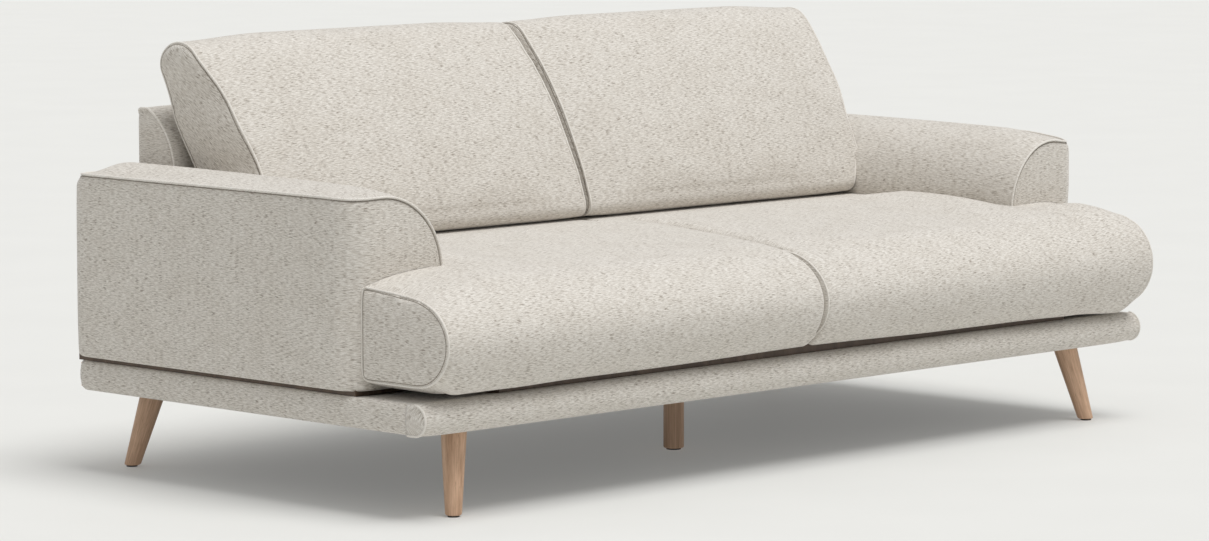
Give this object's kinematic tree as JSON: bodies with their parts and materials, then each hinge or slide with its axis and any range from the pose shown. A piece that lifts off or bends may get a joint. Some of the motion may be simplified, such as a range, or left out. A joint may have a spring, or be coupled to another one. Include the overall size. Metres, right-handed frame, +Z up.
{
  "type": "sofa",
  "caption": "Fabric sofa with low padded platform, rounded arms, loose T-shaped seat cushions, reclined back cushions and splayed round wooden legs.",
  "frame": {"origin": "on the floor, under the middle of the sofa's width and depth", "axes": "+X runs across the sofa to the right as seen from the front, the seat faces -Y, +Z is up"},
  "size_m": [2.112, 1.06, 0.8626],
  "materials": {
    "upholstery": "heathered light greige woven chenille",
    "foam": "cut polyurethane foam",
    "lining": "dark spun and woven lining",
    "leg_wood": "matt oiled hardwood with fine straight grain",
    "frame_timber": "planed pine",
    "dark_timber": "dark stained pine",
    "plywood": "plywood",
    "zinc_steel": "zinc plated",
    "spring_steel": "oiled spring wire",
    "black_plastic": "moulded",
    "zip_tape": "woven tape with nylon coil",
    "zip_metal": "plated zinc"
  },
  "bodies": {
    "frame": {"arm_bottom_rail_left": "dark_timber", "arm_bottom_rail_right": "dark_timber", "arm_cover_left": "upholstery", "arm_cover_right": "upholstery", "arm_front_board_left": "plywood", "arm_front_board_right": "plywood", "arm_rear_board_left": "plywood", "arm_rear_board_right": "plywood", "arm_top_rail_left": "frame_timber", "arm_top_rail_right": "frame_timber", "back_bottom_rail": "dark_timber", "back_cover": "upholstery", "back_post_left": "frame_timber", "back_post_right": "frame_timber", "back_top_rail": "frame_timber", "back_webbing": "lining", "corner_blocks": "frame_timber", "deck_cloth": "lining", "deck_front_rail": "dark_timber", "deck_rear_rail": "dark_timber", "deck_side_rail_left": "dark_timber", "deck_side_rail_right": "dark_timber", "dust_cover": "lining", "frame_bolts": "zinc_steel", "leg_bolts": "zinc_steel", "leg_centre": "leg_wood", "leg_front_left": "leg_wood", "leg_front_right": "leg_wood", "leg_glides": "black_plastic", "leg_plates": "zinc_steel", "leg_rear_left": "leg_wood", "leg_rear_right": "leg_wood", "plate_screws": "zinc_steel", "platform_centre_rail": "frame_timber", "platform_cover_front": "upholstery", "platform_cover_left": "upholstery", "platform_cover_rear": "upholstery", "platform_cover_right": "upholstery", "platform_front_rail": "frame_timber", "platform_rear_rail": "frame_timber", "platform_side_rail_left": "frame_timber", "platform_side_rail_right": "frame_timber", "seat_springs": "spring_steel", "spring_clips": "spring_steel"},
    "seat_cushion_left": {"seat_cushion_core_left": "foam", "seat_cushion_cover_left": "upholstery", "seat_zip_left": "zip_tape"},
    "seat_cushion_right": {"seat_cushion_core_right": "foam", "seat_cushion_cover_right": "upholstery", "seat_zip_right": "zip_tape"},
    "back_cushion_left": {"back_cushion_core_left": "foam", "back_cushion_cover_left": "upholstery", "back_zip_left": "zip_tape"},
    "back_cushion_right": {"back_cushion_core_right": "foam", "back_cushion_cover_right": "upholstery", "back_zip_right": "zip_tape"},
    "back_zip_slider_left": {"back_zip_slider_left": "zip_metal"},
    "back_zip_slider_right": {"back_zip_slider_right": "zip_metal"},
    "seat_zip_slider_left": {"seat_zip_slider_left": "zip_metal"},
    "seat_zip_slider_right": {"seat_zip_slider_right": "zip_metal"}
  },
  "joints": [
    {"name": "seat_cushion_left_pull", "type": "slide", "parent": "frame", "child": "seat_cushion_left", "axis": [0, -1, 0], "range_m": [0, 0.7]},
    {"name": "back_cushion_left_lift", "type": "slide", "parent": "frame", "child": "back_cushion_left", "axis": [0, 0, 1], "range_m": [0, 0.45]},
    {"name": "seat_cushion_right_pull", "type": "slide", "parent": "frame", "child": "seat_cushion_right", "axis": [0, -1, 0], "range_m": [0, 0.7]},
    {"name": "back_cushion_right_lift", "type": "slide", "parent": "frame", "child": "back_cushion_right", "axis": [0, 0, 1], "range_m": [0, 0.45]},
    {"name": "seat_zip_left_pull", "type": "slide", "parent": "seat_cushion_left", "child": "seat_zip_slider_left", "axis": [-1, 0, 0], "range_m": [0, 0.548]},
    {"name": "seat_zip_right_pull", "type": "slide", "parent": "seat_cushion_right", "child": "seat_zip_slider_right", "axis": [1, 0, 0], "range_m": [0, 0.548]},
    {"name": "back_zip_left_pull", "type": "slide", "parent": "back_cushion_left", "child": "back_zip_slider_left", "axis": [-1, 0, 0], "range_m": [0, 0.548]},
    {"name": "back_zip_right_pull", "type": "slide", "parent": "back_cushion_right", "child": "back_zip_slider_right", "axis": [1, 0, 0], "range_m": [0, 0.548]}
  ]
}
